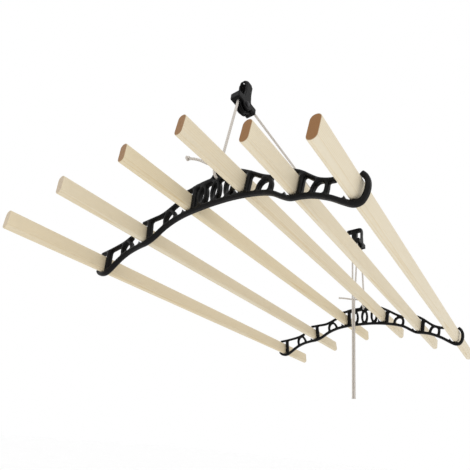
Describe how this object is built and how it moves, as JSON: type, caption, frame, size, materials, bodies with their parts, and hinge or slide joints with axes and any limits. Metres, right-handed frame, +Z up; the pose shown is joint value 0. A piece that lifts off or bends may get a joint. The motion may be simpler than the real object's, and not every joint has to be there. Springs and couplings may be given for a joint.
{
  "type": "ceiling mounted pulley clothes rack",
  "caption": "Hanging clothes rack: wooden laths in cast iron ends, raised and lowered by ropes over a single and a double ceiling pulley.",
  "frame": {"origin": "on the ceiling, midway between the two pulleys and straight above the line of the rope eyes", "axes": "+X across the rack, +Y along the laths from the single pulley to the double pulley, +Z up into the ceiling"},
  "size_m": [0.6636, 1.281, 0.635],
  "materials": {
    "casting": "satin black paint",
    "axle": "satin black paint",
    "lath": "planed bare pine",
    "rope": "matt braided cotton"
  },
  "bodies": {
    "ceiling": {"single_pulley_bracket": "casting", "single_pulley_axle": "axle", "double_pulley_bracket": "casting", "double_pulley_axle": "axle", "rope_ceiling_run": "rope", "rope_far_turn": "rope"},
    "rack": {"rack_end_near": "casting", "rack_end_far": "casting", "lath_1": "lath", "lath_2": "lath", "lath_3": "lath", "lath_4": "lath", "lath_5": "lath", "lath_6": "lath", "rope_near_loop": "rope", "rope_near_knot": "rope", "rope_near_tail": "rope", "rope_near_tail_knot": "rope", "rope_near_drop": "rope", "rope_far_loop": "rope", "rope_far_knot": "rope", "rope_far_tail": "rope", "rope_far_drop": "rope"},
    "near_wheel": {"single_pulley_wheel": "casting"},
    "far_drop_wheel": {"double_pulley_wheel_drop": "casting"},
    "far_run_wheel": {"double_pulley_wheel_run": "casting"},
    "pull_strands": {"rope_pull_run": "rope", "rope_pull_drop": "rope"}
  },
  "joints": [
    {"name": "rack_lift", "type": "slide", "parent": "ceiling", "child": "rack", "axis": [0, 0, 1], "range_m": [-0.36, 0.12], "deforming": ["rope_near_drop", "rope_far_drop"]},
    {"name": "near_wheel_turn", "type": "hinge", "parent": "ceiling", "child": "near_wheel", "pos_m": [0, -0.365, -0.067], "axis": [1, 0, 0], "range_deg": [-370, 1100]},
    {"name": "far_run_wheel_turn", "type": "hinge", "parent": "ceiling", "child": "far_run_wheel", "pos_m": [-0.034, 0.365, -0.067], "axis": [1, 0, 0], "range_deg": [-370, 1100]},
    {"name": "far_drop_wheel_turn", "type": "hinge", "parent": "ceiling", "child": "far_drop_wheel", "pos_m": [0, 0.365, -0.067], "axis": [1, 0, 0], "range_deg": [-1100, 370]},
    {"name": "pull", "type": "slide", "parent": "ceiling", "child": "pull_strands", "axis": [0, 0, 1], "range_m": [-0.13, 0.37], "deforming": ["rope_pull_run", "rope_pull_drop"]}
  ],
  "couplings": [
    {"joint": "near_wheel_turn", "follows": "rack_lift", "rad_per_m": -52.632},
    {"joint": "far_run_wheel_turn", "follows": "rack_lift", "rad_per_m": -52.632},
    {"joint": "far_drop_wheel_turn", "follows": "rack_lift", "rad_per_m": 52.632},
    {"joint": "pull", "follows": "rack_lift", "ratio": -1}
  ]
}
